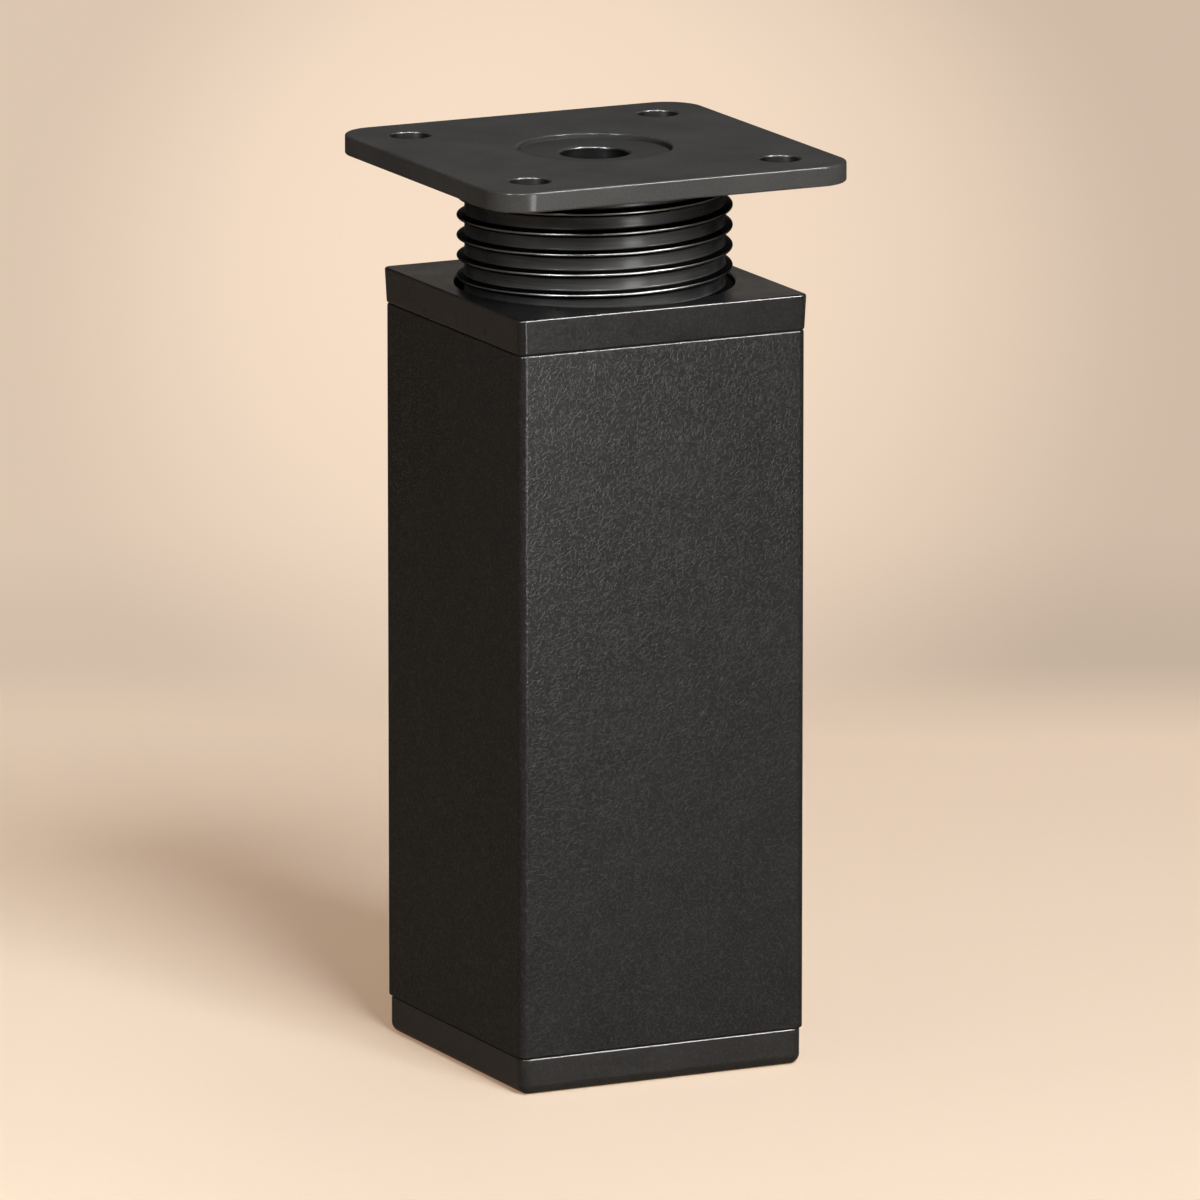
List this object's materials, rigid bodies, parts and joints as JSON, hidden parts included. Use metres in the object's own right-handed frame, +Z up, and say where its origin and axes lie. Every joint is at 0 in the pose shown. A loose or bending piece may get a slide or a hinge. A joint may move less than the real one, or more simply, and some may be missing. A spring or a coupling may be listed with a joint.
{
  "type": "furniture leg",
  "caption": "Square furniture leg: tubular body on a flat foot cap, with a coarse screw stem for height and a square mounting plate with screw holes.",
  "frame": {"origin": "centre of the foot's sole, on the floor", "axes": "+Z up along the leg and out of the mounting plate, +X and +Y square to the tube's faces"},
  "size_m": [0.05, 0.05, 0.1172],
  "materials": {
    "plate_coat": "smooth matt black powder coat on steel",
    "rivet_coat": "matt black coat on steel",
    "stem_anodised": "turned, black anodised, satin",
    "collar_plastic": "moulded, fine matt grain, black",
    "tube_coat": "fine-textured matt black powder coat on steel",
    "foot_plastic": "moulded, fine matt grain, black"
  },
  "bodies": {
    "leg": {"square_tube": "tube_coat", "top_collar": "collar_plastic", "foot_cap": "foot_plastic"},
    "rivet": {"plate_rivet": "rivet_coat"},
    "head": {"mounting_plate": "plate_coat", "threaded_stem": "stem_anodised"}
  },
  "joints": [
    {"name": "height_slide", "type": "slide", "parent": "leg", "child": "rivet", "axis": [0, 0, 1], "range_m": [-0.0143, 0]},
    {"name": "stem_screw", "type": "hinge", "parent": "rivet", "child": "head", "pos_m": [0, 0, 0.1], "axis": [0, 0, 1], "range_deg": [-1980, 0]}
  ],
  "couplings": [
    {"joint": "height_slide", "follows": "stem_screw", "m_per_rad": 0.0004138}
  ]
}
